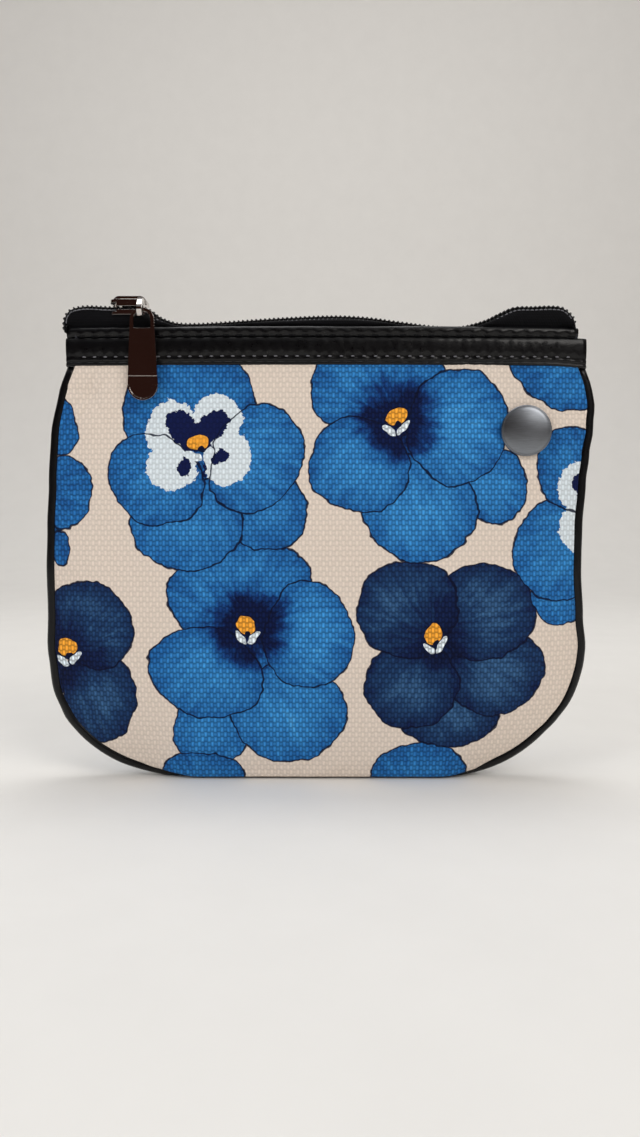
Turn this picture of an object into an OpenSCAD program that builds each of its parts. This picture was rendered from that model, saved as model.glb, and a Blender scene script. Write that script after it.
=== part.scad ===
/* [Pouch] */
// Width over the piping
pouch_w = 200; // [190:1:210]
// Radius of the outline at the bottom corners, over the piping
corner_r = 53; // [46:1:58]
// Height where the sides start to lean inwards
lean_z = 118; // [110:1:124]
// Radius of the inward lean of the sides
lean_r = 130; // [120:1:160]
// Height of the top edge of the canvas
canvas_top = 150.6; // [148:0.2:152]
// How far a panel crowns beyond its edge
crown = 8.7; // [6:0.1:10]
// Distance from the seam over which a panel crowns
crown_reach = 45; // [36:1:56]
// Canvas thickness
canvas_t = 1.1; // [0.8:0.1:1.2]
// Lining thickness
lining_t = 0.4; // [0.3:0.05:0.5]

/* [Piping] */
// Radius of the piping
pipe_r = 2; // [1.8:0.1:2.2]
// Radius of the cord inside the piping
cord_r = 1.1; // [0.9:0.1:1.2]
// How much the piping is flattened where the pouch stands
foot_cut = 0.5; // [0.3:0.05:0.6]
// Width of the seam flange behind the piping
flange_w = 6; // [4:0.5:8]
// Thickness of the seam flange
flange_t = 1; // [0.8:0.1:1]

/* [Band] */
// Half length of the band
band_half = 95; // [93:0.5:96]
// Distance of the band's face from the middle plane, at the middle of the pouch
band_y = 5.4; // [5.2:0.1:5.6]
// How much closer to the middle plane the band's face is at its ends
band_bow = 2.4; // [2:0.1:2.6]
// Height of the lower edge of the band
band_low = 150.8; // [150.8:0.1:152.2]
// Height where the lower layer ends and the upper one starts
band_mid = 161.4; // [160:0.1:162]
// Height of the upper edge of the band
band_top = 164.6; // [164:0.1:165]
// Thickness of the band
band_t = 1.4; // [1.2:0.1:1.4]
// Distance between stitches
stitch_pitch = 4; // [3:0.5:6]

/* [Zipper] */
// Height of the middle of the zipper chain
chain_z = 171.4; // [171:0.1:172]
// Half length of the chain
chain_half = 88; // [84:1:90]
// Distance between coil turns
coil_pitch = 1.6; // [1.5:0.1:1.8]
// Thickness of the coil's wire
coil_wire = 0.62; // [0.5:0.02:0.64]
// Height of the coil
coil_h = 2.2; // [2:0.1:2.2]
// Tape thickness
tape_t = 0.5; // [0.4:0.05:0.5]

/* [Slider] */
// Place of the slider's middle when the pouch is closed
slider_x = -68.5; // [-72:0.1:-68]
// How far the slider runs
zip_run = 146; // [140:1:147]
// Length of the slider
slider_l = 13; // [12:0.5:13.5]
// Width of the slider
slider_w = 9.5; // [9:0.1:9.6]
// Thickness of the slider's top plate
plate_t = 1.2; // [1:0.1:1.3]
// Height of the crown above the top plate
crown_h = 2.1; // [1.8:0.1:2.4]

/* [Pull tab] */
// Place of the tab's middle from the slider's middle
tab_dx = 5.8; // [4.5:0.1:5.8]
// Height of the axis that the tab swings about
pull_z = 169.9; // [169.8:0.05:170]
// Distance of that axis in front of the middle plane
pull_y = 7; // [6.9:0.05:7.2]
// Thickness of the tab
tab_t = 1.4; // [1.2:0.1:1.4]
// Length of the tab below its axis
tab_l = 32; // [30:0.5:32.5]
// Width of the tab at its eye
tab_w_top = 8.6; // [8.4:0.1:9]
// Width of the tab at its lower end
tab_w_low = 10.8; // [10:0.1:10.8]
// Width of the slot in the eye
slot_w = 6.1; // [6:0.1:6.3]
// Length of the slot
slot_l = 6; // [5.6:0.1:6.4]

/* [Badge] */
// Badge place across
badge_x = 74.4; // [70:0.1:76]
// Badge height
badge_z = 127.2; // [120:0.1:127.4]
// Badge radius
badge_r = 9.1; // [8:0.1:9.1]

/* [Hidden] */
$fn = 64;
eps = 0.01;

pipe_z = pipe_r - foot_cut;                       // height of the piping's middle line at the bottom
path_r = corner_r - pipe_r;                       // the middle line's radius at the corners
path_x = pouch_w / 2 - pipe_r;                    // the middle line's distance at the sides
corner_x = path_x - path_r;
corner_z = pipe_z + path_r;
lean_angle = asin((canvas_top - 0.6 - lean_z) / lean_r);
panel_gap = 0.35;                                 // between the piping and the canvas
edge_in = pipe_r + panel_gap;                     // from the middle line to the canvas edge
edge_depth = 2.3;                                 // distance of the canvas face from the middle plane at the seam
bow_r = (band_half * band_half + band_bow * band_bow) / (2 * band_bow);
bow_angle = asin(band_half / bow_r);
top_step = 0.2;                                   // the canvas lies this much behind the band's face
tape_depth = band_y - band_t - 0.1;               // outer face of the tape behind the band
tape_low = 156;                                   // lower edge of the tape
tape_out = 5.65;                                  // outer face of the tape beside the slider
coil_out = 2.9;                                   // distance of the coil's outer side from the middle plane
coil_over = 0.5;                                  // how far a coil reaches over the middle plane
coil_apart = 1.1;                                 // how much further out a coil lies where the zipper is open
lining_top = 163;
arc_fn = 1440;                                    // keeps the shallow arc of the band round
badge_back = 6.7;                                 // distance of the badge's rim from the middle plane
slot_half = 0.6;                                  // half of the space for the tape in the slider's sides
cavity = 1.6;                                     // half of the space between the slider's plates
hook_x = slider_x + tab_dx - 0.6;
hook_w = 1.8;
hook_in = 1.5;
hook_out = 2.75;

leather = [0.05, 0.05, 0.055];
thread = [0.09, 0.09, 0.1];
canvas = [0.82, 0.76, 0.7];
print_blue = [0.16, 0.42, 0.66];
nylon = [0.06, 0.06, 0.065];
chrome = [0.75, 0.74, 0.74];
steel = [0.45, 0.46, 0.47];

function smooth(t) = let (c = min(1, max(0, t))) c * c * (3 - 2 * c);

// Half width of the canvas at a height
function half_width(z) =
    z < corner_z ? corner_x + sqrt(max(0, pow(path_r - edge_in, 2) - pow(corner_z - z, 2)))
    : z < lean_z ? path_x - edge_in
    : path_x - edge_in - (lean_r - sqrt(lean_r * lean_r - pow(z - lean_z, 2)));

// Distance of a point of the canvas from its seam at the sides and bottom
function seam_dist(x, z) = let (ax = abs(x))
    z < corner_z && ax > corner_x ? path_r - edge_in - norm([ax - corner_x, corner_z - z])
    : min(half_width(z) - ax, z - pipe_z - edge_in);

// How full the pillow is at a point, from 0 at the seam to 1
function fullness(x, z) = pow(sin(90 * min(1, max(0, seam_dist(x, z)) / crown_reach)), 0.9);

// Distance of the band's face from the middle plane
function bow(x) = band_y - bow_r + sqrt(bow_r * bow_r - x * x);

// Distance of the canvas face from the middle plane
function depth(x, z) =
    let (w = smooth((z - 110) / (canvas_top - 110)),
        pillow = edge_depth + crown * fullness(x, z) * (1 - 0.45 * smooth((z - 60) / 90)))
    pillow * (1 - w) + (bow(x) - top_step) * w;

// How far the lining lies behind the canvas face
function lining_in(x, z) = canvas_t + 0.05 + 0.75 * smooth(z > 140 ? 1 : 3 * fullness(x, z));

// Heights of the rows of a panel, close together round the corners
function rows(top) = concat(
    [for (a = [0:9:90]) corner_z - (path_r - edge_in) * cos(a)],
    [for (i = [1:8]) corner_z + (top - corner_z) * i / 8]);

// A closed sheet from a grid of points on its outer and its inner face
module sheet(outer, inner) {
    nr = len(outer);
    nc = len(outer[0]);
    n = nr * nc;
    grid = [for (i = [0:nr - 2], j = [0:nc - 2]) each
        [[i * nc + j, i * nc + j + 1, (i + 1) * nc + j + 1], [i * nc + j, (i + 1) * nc + j + 1, (i + 1) * nc + j]]];
    back = [for (f = grid) [f[2] + n, f[1] + n, f[0] + n]];
    rim = concat(
        [for (j = [0:nc - 2]) [j + 1, j]], [for (j = [0:nc - 2]) [(nr - 1) * nc + j, (nr - 1) * nc + j + 1]],
        [for (i = [0:nr - 2]) [i * nc, (i + 1) * nc]], [for (i = [0:nr - 2]) [(i + 1) * nc + nc - 1, i * nc + nc - 1]]);
    sides = [for (e = rim) each [[e[0], e[1], e[1] + n], [e[0], e[1] + n, e[0] + n]]];
    polyhedron(points = concat([for (r = outer) each r], [for (r = inner) each r]),
        faces = [for (f = concat(grid, back, sides)) [f[2], f[1], f[0]]]);
}

// A front wall from z heights, with its outer face a given distance behind the canvas face
module wall(heights, behind_canvas, t) {
    cols = [for (j = [-12:12]) sin(90 * j / 12)];
    function at(u, z, extra) = let (x = u * half_width(z))
        [x, -depth(x, z) + (behind_canvas ? lining_in(x, z) : 0) + extra, z];
    sheet([for (z = heights) [for (u = cols) at(u, z, 0)]], [for (z = heights) [for (u = cols) at(u, z, t)]]);
}

// Carries a flat profile along the outline of the pouch: x outwards, y through the thickness
module along_outline() {
    for (s = [0, 1]) mirror([s, 0, 0]) {
        translate([corner_x, 0, corner_z]) rotate([90, 0, 0]) rotate([0, 0, -90])
            rotate_extrude(angle = 90) translate([path_r, 0]) children();
        translate([path_x, 0, corner_z]) linear_extrude(lean_z - corner_z) children();
        translate([path_x - lean_r, 0, lean_z]) rotate([90, 0, 0])
            rotate_extrude(angle = lean_angle, $fn = 720) translate([lean_r, 0]) children();
        translate([0, 0, pipe_z]) rotate([0, 90, 0]) linear_extrude(corner_x) children();
    }
}

module piping_cover() color(leather) difference() {
    along_outline() difference() {
        union() {
            circle(pipe_r);
            translate([-pipe_r - flange_w, -flange_t / 2]) square([flange_w + pipe_r, flange_t]);
        }
        circle(cord_r + 0.05);
    }
    translate([-pouch_w, -pouch_w, -20]) cube([2 * pouch_w, 2 * pouch_w, 20]);
}

module piping_cord() color([0.8, 0.8, 0.78]) along_outline() circle(cord_r);

module seam_thread() color(thread) along_outline() translate([-pipe_r - 1.4, flange_t / 2 + 0.15]) circle(0.12);

// Strip of the band between two heights, bowed round the mouth
module strip(low, high, t, half) {
    angle = 2 * asin(half / bow_r);
    translate([0, bow_r - band_y, 0]) rotate([0, 0, -90 - angle / 2])
        rotate_extrude(angle = angle, $fn = arc_fn) translate([bow_r - t, low]) square([t, high - low]);
}

// Row of stitches on the band's face
module stitch_row(z, pitch, long) {
    count = floor((band_half - 3) / pitch);
    for (i = [-count:count]) translate([0, bow_r - band_y, z]) rotate([0, 0, asin(i * pitch / bow_r)])
        translate([-long / 2, -bow_r - 0.32, -0.2]) cube([long, 0.28, 0.4]);
}

module half_tape() {
    stations = [for (j = [-12:12]) 92.5 * j / 12];
    function edge(x) = -coil_out - (x < slider_x ? coil_apart + 0.1 : 0.05);
    function out(x) = let (d = tape_depth - band_y + bow(x))
        [[x, edge(x), chain_z - 0.2 + tape_t / 2], [x, -tape_out, chain_z - 0.2 + tape_t / 2],
        [x, -tape_out, chain_z - 3.4], [x, -d, band_top + 0.9], [x, -d, tape_low]];
    function inn(x) = let (d = tape_depth - band_y + bow(x) - tape_t)
        [[x, edge(x), chain_z - 0.2 - tape_t / 2], [x, -tape_out + tape_t, chain_z - 0.2 - tape_t / 2],
        [x, -tape_out + tape_t, chain_z - 3.2], [x, -d, band_top + 0.7], [x, -d, tape_low]];
    sheet([for (i = [4:-1:0]) [for (x = stations) out(x)[i]]], [for (i = [4:-1:0]) [for (x = stations) inn(x)[i]]]);
}

// One turn of the coil, as a flat loop across the chain
module coil_turn() rotate([90, 0, 90]) linear_extrude(coil_wire, center = true) difference() {
    stadium(-coil_out + coil_h / 2, coil_over - coil_h / 2, coil_h / 2);
    stadium(-coil_out + coil_h / 2, coil_over - coil_h / 2, coil_h / 2 - 0.55);
}

module stadium(from, to, r) {
    for (x = [from, to]) translate([x, 0]) circle(r);
    translate([from, -r]) square([to - from, 2 * r]);
}

// Half of the chain: its turns mesh with the other half right of the slider's post and are apart left of it
module half_coil(shift) {
    nose = slider_x - slider_l / 2;
    for (x = [nose + 4 + shift:coil_pitch:chain_half]) translate([x, 0, chain_z]) coil_turn();
    for (x = [-chain_half + shift:coil_pitch:nose - 1]) translate([x, -coil_apart, chain_z]) coil_turn();
}

module half_core() translate([slider_x, -1.9, chain_z]) rotate([0, 90, 0]) cylinder(r = 0.4, h = chain_half - slider_x);

module half_coil_thread() for (s = [-1, 1])
    translate([slider_x, -1.9, chain_z + s * (coil_h / 2 + 0.17)]) rotate([0, 90, 0])
        cylinder(r = 0.15, h = chain_half - slider_x, $fn = 16);

module front_panel() color(print_blue) wall(rows(canvas_top), false, canvas_t);
module front_lining() color([0.2, 0.2, 0.22]) wall(concat(rows(canvas_top), [lining_top]), true, lining_t);
module front_band_lower() color(leather) strip(band_low, band_mid, band_t, band_half);
module front_band_upper() color(leather) strip(band_mid + 0.1, band_top, band_t, band_half - 1);
module front_band_lower_stitches() color(thread) stitch_row(band_low + 3, stitch_pitch, 2.8);
module front_band_upper_stitches() color(thread) stitch_row(band_mid + 0.6, stitch_pitch * 1.25, 3.4);
module front_tape() color(nylon) half_tape();
module front_coil() color(nylon) half_coil(0);
module front_coil_core() color(nylon) half_core();
module front_coil_thread() color(thread) half_coil_thread();

// The back is the front turned over
module turned() mirror([0, 1, 0]) children();
module back_panel() color(print_blue) turned() wall(rows(canvas_top), false, canvas_t);
module back_lining() color([0.2, 0.2, 0.22]) turned() wall(concat(rows(canvas_top), [lining_top]), true, lining_t);
module back_band_lower() color(leather) turned() strip(band_low, band_mid, band_t, band_half);
module back_band_upper() color(leather) turned() strip(band_mid + 0.1, band_top, band_t, band_half - 1);
module back_band_lower_stitches() color(thread) turned() stitch_row(band_low + 3, stitch_pitch, 2.8);
module back_band_upper_stitches() color(thread) turned() stitch_row(band_mid + 0.6, stitch_pitch * 1.25, 3.4);
module back_tape() color(nylon) turned() half_tape();
module back_coil() color(nylon) turned() half_coil(coil_pitch / 2);
module back_coil_core() color(nylon) turned() half_core();
module back_coil_thread() color(thread) turned() half_coil_thread();

module badge_cap() color(steel) translate([badge_x, -badge_back, badge_z]) rotate([90, 0, 0]) difference() {
    union() {
        cylinder(r = badge_r, h = 0.9);
        translate([0, 0, 0.9]) intersection() {
            translate([0, 0, 1.3 - 29]) sphere(29, $fn = 180);
            cylinder(r = badge_r - 0.5, h = 3);
        }
    }
    translate([0, 0, -eps]) cylinder(r = badge_r - 0.8, h = 0.6);
}

module badge_post() color(steel) translate([badge_x, -badge_back - 0.55, badge_z]) rotate([-90, 0, 0])
    cylinder(r = 1.5, h = badge_back + 0.55 - depth(badge_x, badge_z) + canvas_t + 0.2);

module badge_washer() {
    d = 0.5;
    lean = atan((depth(badge_x, badge_z + d) - depth(badge_x, badge_z - d)) / (2 * d));
    turn = atan((depth(badge_x + d, badge_z) - depth(badge_x - d, badge_z)) / (2 * d));
    color(steel) translate([badge_x, -depth(badge_x, badge_z) + canvas_t + 0.2, badge_z])
        rotate([0, 0, -turn]) rotate([lean, 0, 0]) rotate([-90, 0, 0]) difference() {
            cylinder(r = 3.5, h = 0.35);
            translate([0, 0, -eps]) cylinder(r = 1.7, h = 1);
        }
}

module rounded_plate(t) linear_extrude(t) {
    r = 2.6;
    for (x = [-1, 1], y = [-1, 1]) translate([x * (slider_l / 2 - r), y * (slider_w / 2 - r)]) circle(r);
    square([slider_l - 2 * r, slider_w], center = true);
    square([slider_l, slider_w - 2 * r], center = true);
}

// Sides of the slider, open at the height of the tape
module slider_sides() difference() {
    translate([0, 0, -cavity]) linear_extrude(2 * cavity) for (s = [-1, 1])
        translate([0, s * (slider_w / 2 - 0.22)]) square([slider_l - 5.2, 0.44], center = true);
    translate([-slider_l, -slider_w, -slot_half - 0.2]) cube([2 * slider_l, 2 * slider_w, 2 * slot_half]);
}

module slider_crown() translate([0, 0, cavity + plate_t]) rotate([90, 0, 0])
    linear_extrude(2.2, center = true) intersection() {
        difference() {
            translate([0, -0.2]) stadium(-3.7, 3.7, crown_h + 0.2);
            translate([0, -0.2]) stadium(-3, 3, crown_h - 0.8);
        }
        translate([-slider_l, -0.5]) square([2 * slider_l, 5]);
    }

// Hook at the front of the crown that the tab's eye hangs in
module slider_hook() translate([hook_x, -pull_y, pull_z]) rotate([90, 0, 90])
    linear_extrude(hook_w, center = true) difference() {
        up = chain_z + cavity - pull_z;
        union() {
            circle(hook_out);
            polygon([[1, up - 1.4], [4.4, up], [4.4, up + plate_t], [0.4, up + plate_t], [-0.6, up + 0.6], [-2.2, 1.6]]);
        }
        circle(hook_in);
        translate([1.05, -4]) square([4, 4 + up - 0.7]);
    }

module slider() color(chrome) {
    translate([slider_x, 0, chain_z]) {
        translate([0, 0, cavity]) rounded_plate(plate_t);
        translate([0, 0, -cavity - 1]) rounded_plate(1);
        translate([-slider_l / 2 + 1.4, 0, -cavity - 0.5]) cylinder(r = 0.9, h = 2 * cavity + 1);
        slider_sides();
        slider_crown();
    }
    slider_hook();
}

module pull_tab() {
    arch_z = -0.6 - slot_w / 2;
    end_r = tab_w_low / 2;
    step = 8.6;                                   // height of the step above the tab's lower end
    color(chrome) translate([slider_x + tab_dx, -pull_y, pull_z]) rotate([90, 0, 0]) difference() {
        linear_extrude(tab_t, center = true) difference() {
            union() {
                translate([0, arch_z]) circle(tab_w_top / 2);
                translate([0, -tab_l + end_r]) circle(end_r);
                polygon([[-end_r, -tab_l + end_r], [end_r, -tab_l + end_r], [tab_w_top / 2, arch_z], [-tab_w_top / 2, arch_z]]);
            }
            translate([0, arch_z]) circle(slot_w / 2);
            translate([-slot_w / 2, -0.6 - slot_l]) square([slot_w, slot_l - slot_w / 2]);
        }
        translate([0, 0, tab_t / 2 - 0.35]) linear_extrude(1) {
            intersection() {
                translate([0, -tab_l + end_r]) circle(end_r - 0.7);
                translate([-end_r, -tab_l]) square([2 * end_r, end_r]);
            }
            translate([-end_r - 1, -tab_l + end_r]) square([2 * end_r + 2, step - end_r]);
        }
    }
}

piping_cover();
piping_cord();
seam_thread();
front_panel();
front_lining();
front_band_lower();
front_band_upper();
front_band_lower_stitches();
front_band_upper_stitches();
front_tape();
front_coil();
front_coil_core();
front_coil_thread();
back_panel();
back_lining();
back_band_lower();
back_band_upper();
back_band_lower_stitches();
back_band_upper_stitches();
back_tape();
back_coil();
back_coil_core();
back_coil_thread();
badge_cap();
badge_post();
badge_washer();
slider();
pull_tab();
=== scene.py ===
import math

import bmesh
import bpy
from mathutils import Matrix, Vector, noise


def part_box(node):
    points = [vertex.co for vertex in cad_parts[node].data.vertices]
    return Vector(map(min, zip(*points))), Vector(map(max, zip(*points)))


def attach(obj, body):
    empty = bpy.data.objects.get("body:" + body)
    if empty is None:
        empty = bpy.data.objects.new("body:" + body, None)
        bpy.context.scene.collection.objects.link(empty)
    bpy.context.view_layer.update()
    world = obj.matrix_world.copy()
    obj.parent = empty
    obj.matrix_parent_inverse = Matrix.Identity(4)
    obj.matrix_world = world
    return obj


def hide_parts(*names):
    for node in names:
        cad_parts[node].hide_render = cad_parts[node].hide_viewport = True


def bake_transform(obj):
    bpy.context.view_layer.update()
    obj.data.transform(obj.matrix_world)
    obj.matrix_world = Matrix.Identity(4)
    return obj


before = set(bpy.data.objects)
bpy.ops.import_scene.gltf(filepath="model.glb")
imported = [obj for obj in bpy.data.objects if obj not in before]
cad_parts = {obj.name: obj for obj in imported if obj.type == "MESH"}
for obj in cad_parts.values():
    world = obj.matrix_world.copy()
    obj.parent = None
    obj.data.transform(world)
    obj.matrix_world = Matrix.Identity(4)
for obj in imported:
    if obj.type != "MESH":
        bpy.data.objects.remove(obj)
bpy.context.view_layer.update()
mm = 0.001

view = {"aim": (0.0005, 0.0, 0.0774), "elevation": 3.0, "distance": 0.3035, "lens": 26.0}
cameraData = bpy.data.cameras.new("camera")
cameraData.lens = view["lens"]
cameraData.sensor_width = 36.0
cameraData.clip_start = 0.01
camera = bpy.data.objects.new("camera", cameraData)
bpy.context.collection.objects.link(camera)
tilt = math.radians(view["elevation"])
eye = Vector(view["aim"]) + view["distance"] * Vector((0, -math.cos(tilt), math.sin(tilt)))
camera.location = eye
camera.rotation_euler = (Vector(view["aim"]) - eye).to_track_quat("-Z", "Y").to_euler()
bpy.context.scene.camera = camera


def smoothStep(t):
    t = min(1.0, max(0.0, t))
    return t * t * (3 - 2 * t)


def spread(low, high, t):
    return smoothStep((t - low) / (high - low))


def softNoise(seed, x, y, z=0.0):
    # smooth noise from about -1 to 1, another one for each seed
    return noise.noise(Vector((x + 17.3 * seed, y - 9.1 * seed, z + 3.7 * seed)))


def finish(bm, name, material, smooth=True, outward=True):
    if outward:
        bmesh.ops.recalc_face_normals(bm, faces=bm.faces)
    for face in bm.faces:
        face.smooth = smooth
    mesh = bpy.data.meshes.new(name)
    bm.to_mesh(mesh)
    bm.free()
    piece = bpy.data.objects.new(name, mesh)
    bpy.context.collection.objects.link(piece)
    mesh.materials.append(material)
    return piece


def grid(across, along, place, wrap=False, caps=False):
    # a grid whose points are sent to place(u, v), with u and v from 0 to 1
    bm = bmesh.new()
    bmesh.ops.create_grid(bm, x_segments=across, y_segments=along, size=1.0)
    for vert in bm.verts:
        vert.co = place((vert.co.x + 1) / 2, (vert.co.y + 1) / 2)
    if wrap:
        bmesh.ops.remove_doubles(bm, verts=bm.verts, dist=1e-7)
    if caps:
        loose = [e for e in bm.edges if e.is_boundary]
        bmesh.ops.holes_fill(bm, edges=loose, sides=0)
    return bm


def thicken(piece, thickness, offset=-1.0):
    solid = piece.modifiers.new("thickness", "SOLIDIFY")
    solid.thickness = thickness
    solid.offset = offset
    solid.use_even_offset = False
    return piece


def soften(piece, width, segments=2, angle=30):
    bevel = piece.modifiers.new("edges", "BEVEL")
    bevel.width = width
    bevel.segments = segments
    bevel.limit_method = "ANGLE"
    bevel.angle_limit = math.radians(angle)
    bevel.harden_normals = True
    return piece


def cadCopy(node, name, material, width):
    # a copy of a CAD node's mesh with its points merged and its edges broken
    bm = bmesh.new()
    bm.from_mesh(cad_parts[node].data)
    bmesh.ops.remove_doubles(bm, verts=bm.verts, dist=1e-6)
    bmesh.ops.dissolve_limit(bm, angle_limit=math.radians(1.0), verts=bm.verts, edges=bm.edges)
    for edge in bm.edges:
        edge.smooth = edge.calc_face_angle(0.0) < math.radians(25)
    piece = finish(bm, name, material, smooth=True)
    soften(piece, width)
    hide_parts(node)
    return piece


def smoothPath(points, count):
    # a Catmull-Rom curve through points, cut into equal lengths
    fine = []
    last = len(points) - 1
    for i in range(last):
        a, b = points[max(i - 1, 0)], points[i]
        c, d = points[i + 1], points[min(i + 2, last)]
        for k in range(24):
            t = k / 24
            fine.append(tuple(
                0.5 * (2 * q + (r - p) * t + (2 * p - 5 * q + 4 * r - s) * t * t
                       + (3 * q - p - 3 * r + s) * t ** 3)
                for p, q, r, s in zip(a, b, c, d)))
    fine.append(tuple(points[last]))
    reach = [0.0]
    for p, q in zip(fine, fine[1:]):
        reach.append(reach[-1] + math.dist(p, q))
    result, k = [], 0
    for i in range(count + 1):
        want = reach[-1] * i / count
        while k < len(reach) - 2 and reach[k + 1] < want:
            k += 1
        t = (want - reach[k]) / max(1e-12, reach[k + 1] - reach[k])
        result.append(tuple(p + (q - p) * t for p, q in zip(fine[k], fine[k + 1])))
    return result


# Wraps a shader socket, so that shader maths reads as ordinary expressions.
class Wire:
    def __init__(self, tree, socket=None):
        self.tree = tree
        self.socket = socket

    def make(self, kind, settings=None, inputs=None, output=0):
        node = self.tree.nodes.new(kind)
        for key, value in (settings or {}).items():
            if key == "stops":
                ramp = node.color_ramp
                while len(ramp.elements) < len(value):
                    ramp.elements.new(0.5)
                for element, (place, colour) in zip(ramp.elements, value):
                    element.position = place
                    element.color = colour
            else:
                setattr(node, key, value)
        for key, value in (inputs or {}).items():
            if isinstance(value, Wire):
                self.tree.links.new(value.socket, node.inputs[key])
            else:
                node.inputs[key].default_value = value
        return Wire(self.tree, node.outputs[output])

    def maths(self, operation, *values, clamp=False):
        settings = {"operation": operation, "use_clamp": clamp}
        return self.make("ShaderNodeMath", settings, dict(enumerate(values)))

    def vector(self, operation, *values):
        output = "Value" if operation == "LENGTH" else "Vector"
        return self.make("ShaderNodeVectorMath", {"operation": operation}, dict(enumerate(values)), output)

    def mix(self, factor, a, b, how="MIX"):
        settings = {"data_type": "RGBA", "blend_type": how}
        return self.make("ShaderNodeMix", settings, {0: factor, 6: a, 7: b}, 2)

    def scale(self, low, high, a=0.0, b=1.0):
        inputs = {"Value": self, "From Min": low, "From Max": high, "To Min": a, "To Max": b}
        return self.make("ShaderNodeMapRange", {"interpolation_type": "SMOOTHSTEP"}, inputs)

    def blur(self, vector, size, detail=2.0, rough=0.5, output="Fac"):
        # soft noise with features of about 1 / size
        inputs = {"Vector": vector, "Scale": size, "Detail": detail, "Roughness": rough}
        return self.make("ShaderNodeTexNoise", {}, inputs, output)

    def __add__(self, other):
        return self.maths("ADD", self, other)

    def __radd__(self, other):
        return self.maths("ADD", other, self)

    def __sub__(self, other):
        return self.maths("SUBTRACT", self, other)

    def __rsub__(self, other):
        return self.maths("SUBTRACT", other, self)

    def __mul__(self, other):
        return self.maths("MULTIPLY", self, other)

    def __rmul__(self, other):
        return self.maths("MULTIPLY", other, self)

    def __pow__(self, other):
        return self.maths("POWER", self, other)

    def atLeast(self, other):
        return self.maths("MAXIMUM", self, other)

    def withInput(self, name, wire):
        self.tree.links.new(wire.socket, self.socket.node.inputs[name])
        return self


def rgb(r, g, b):
    # 0 to 255 display values to a linear colour
    def linear(c):
        c /= 255
        return c / 12.92 if c <= 0.04045 else ((c + 0.055) / 1.055) ** 2.4
    return (linear(r), linear(g), linear(b), 1.0)


def newMaterial(name, settings):
    material = bpy.data.materials.new(name)
    material.use_nodes = True
    tree = material.node_tree
    tree.nodes.clear()
    shader = tree.nodes.new("ShaderNodeBsdfPrincipled")
    output = tree.nodes.new("ShaderNodeOutputMaterial")
    tree.links.new(shader.outputs[0], output.inputs[0])
    for key, value in settings.items():
        shader.inputs[key].default_value = value
    return material, Wire(tree), shader


def plug(start, shader, **links):
    names = {"colour": "Base Color", "roughness": "Roughness", "normal": "Normal"}
    for key, wire in links.items():
        start.tree.links.new(wire.socket, shader.inputs[names[key]])


def bump(start, height, distance, strength=1.0):
    return start.make("ShaderNodeBump", {}, {"Height": height, "Distance": distance, "Strength": strength})


# Petals are (across, up, half width, half height, turn) in millimetres from the flower's middle,
# from the one at the back to the one in front.
flowers = [
    {"at": (-25.1, 57.8), "kind": "blue", "petals": [
        (2, -8, 14, 14, 0), (-14, -38, 14, 14.5, 0), (14.5, -32, 20.5, 18.5, 0), (-3.5, 12.5, 26, 18.5, 12),
        (-15, -17.5, 21, 16.5, -18), (21.5, -4, 16, 19.5, 0)]},
    {"at": (-42.6, 122.8), "kind": "faced", "petals": [
        (0, 0, 9, 9, 0), (24.5, -25, 14.5, 13.5, 10), (-4.5, -28, 20.5, 18, 0), (-3.6, 11, 24.5, 24, 0),
        (-15.8, -13, 19, 15.2, -36), (20, -6, 15.5, 20.5, -25)]},
    {"at": (28, 131.8), "kind": "blue", "petals": [
        (2, -8, 14, 14, 0), (34.5, -24.5, 12.5, 14.5, 0), (8, -32, 21, 19.5, 0), (-6, 11, 25, 19, 0),
        (-13.5, -17, 18.5, 17, -10), (22, -3, 18, 21, -12)]},
    {"at": (41.3, 54.7), "kind": "navy", "petals": [
        (0, 0, 12, 12, 0), (6, -28, 18.5, 15, 0), (23, -15, 18, 14.5, 10), (-7.5, -19, 17, 16, 0),
        (17.7, 7.5, 19.5, 17.5, 0), (-9, 8.5, 18.5, 17.5, 0)]},
    {"at": (-91.7, 48.5), "kind": "navy", "petals": [
        (-15, -7, 14, 18, 0), (11, -17, 14.5, 18, 0), (8, 8.5, 17.5, 15, -20)]},
    {"at": (105.5, 101), "kind": "faced", "petals": [
        (6, 2, 20, 20, 0), (-16.5, -33, 12, 11.5, 0), (-18, -17, 17.5, 18, 0), (-12.5, 13, 14.5, 16, 0)]},
    {"at": (104, 160), "kind": "plain", "petals": [(-13, -9, 23, 16, -12)]},
    # the flower at the left seam, beside the gathered spot, is kept darker than plain blue: painted shade of
    # the gather
    {"at": (-103, 108), "kind": "dark", "petals": [
        (8, -23, 3.5, 7, 0), (9, 21, 7, 10, 0), (11, -2.5, 9.5, 13.5, 0)]},
    {"at": (-42.5, -8), "kind": "plain", "petals": [(0, 9.5, 15.5, 9.5, 0)]},
    {"at": (37, -8), "kind": "plain", "petals": [(0, 10.5, 17.5, 11.5, 0)]},
]

printValues = {
    "repeat": (222.0, 176.0),       # size of one repeat of the print, millimetres
    "outline": 0.30,                # half width of the dark outlines
    "ground": rgb(220, 206, 193),
    "line": rgb(8, 16, 44),
    "white": rgb(214, 224, 230),
    "orange": rgb(236, 160, 54),
    "heart": rgb(12, 22, 66),
    # from the darkest to the lightest part of a petal
    "blues": [(0.0, rgb(8, 22, 62)), (0.25, rgb(16, 54, 112)), (0.5, rgb(34, 100, 164)),
              (0.78, rgb(56, 136, 200)), (1.0, rgb(92, 170, 222))],
    "navies": [(0.0, rgb(6, 12, 40)), (0.4, rgb(13, 29, 68)), (0.7, rgb(28, 58, 98)),
               (1.0, rgb(58, 98, 140))],
}

weave = {"across": 1.19, "up": 1.83}  # millimetres from yarn to yarn


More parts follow.
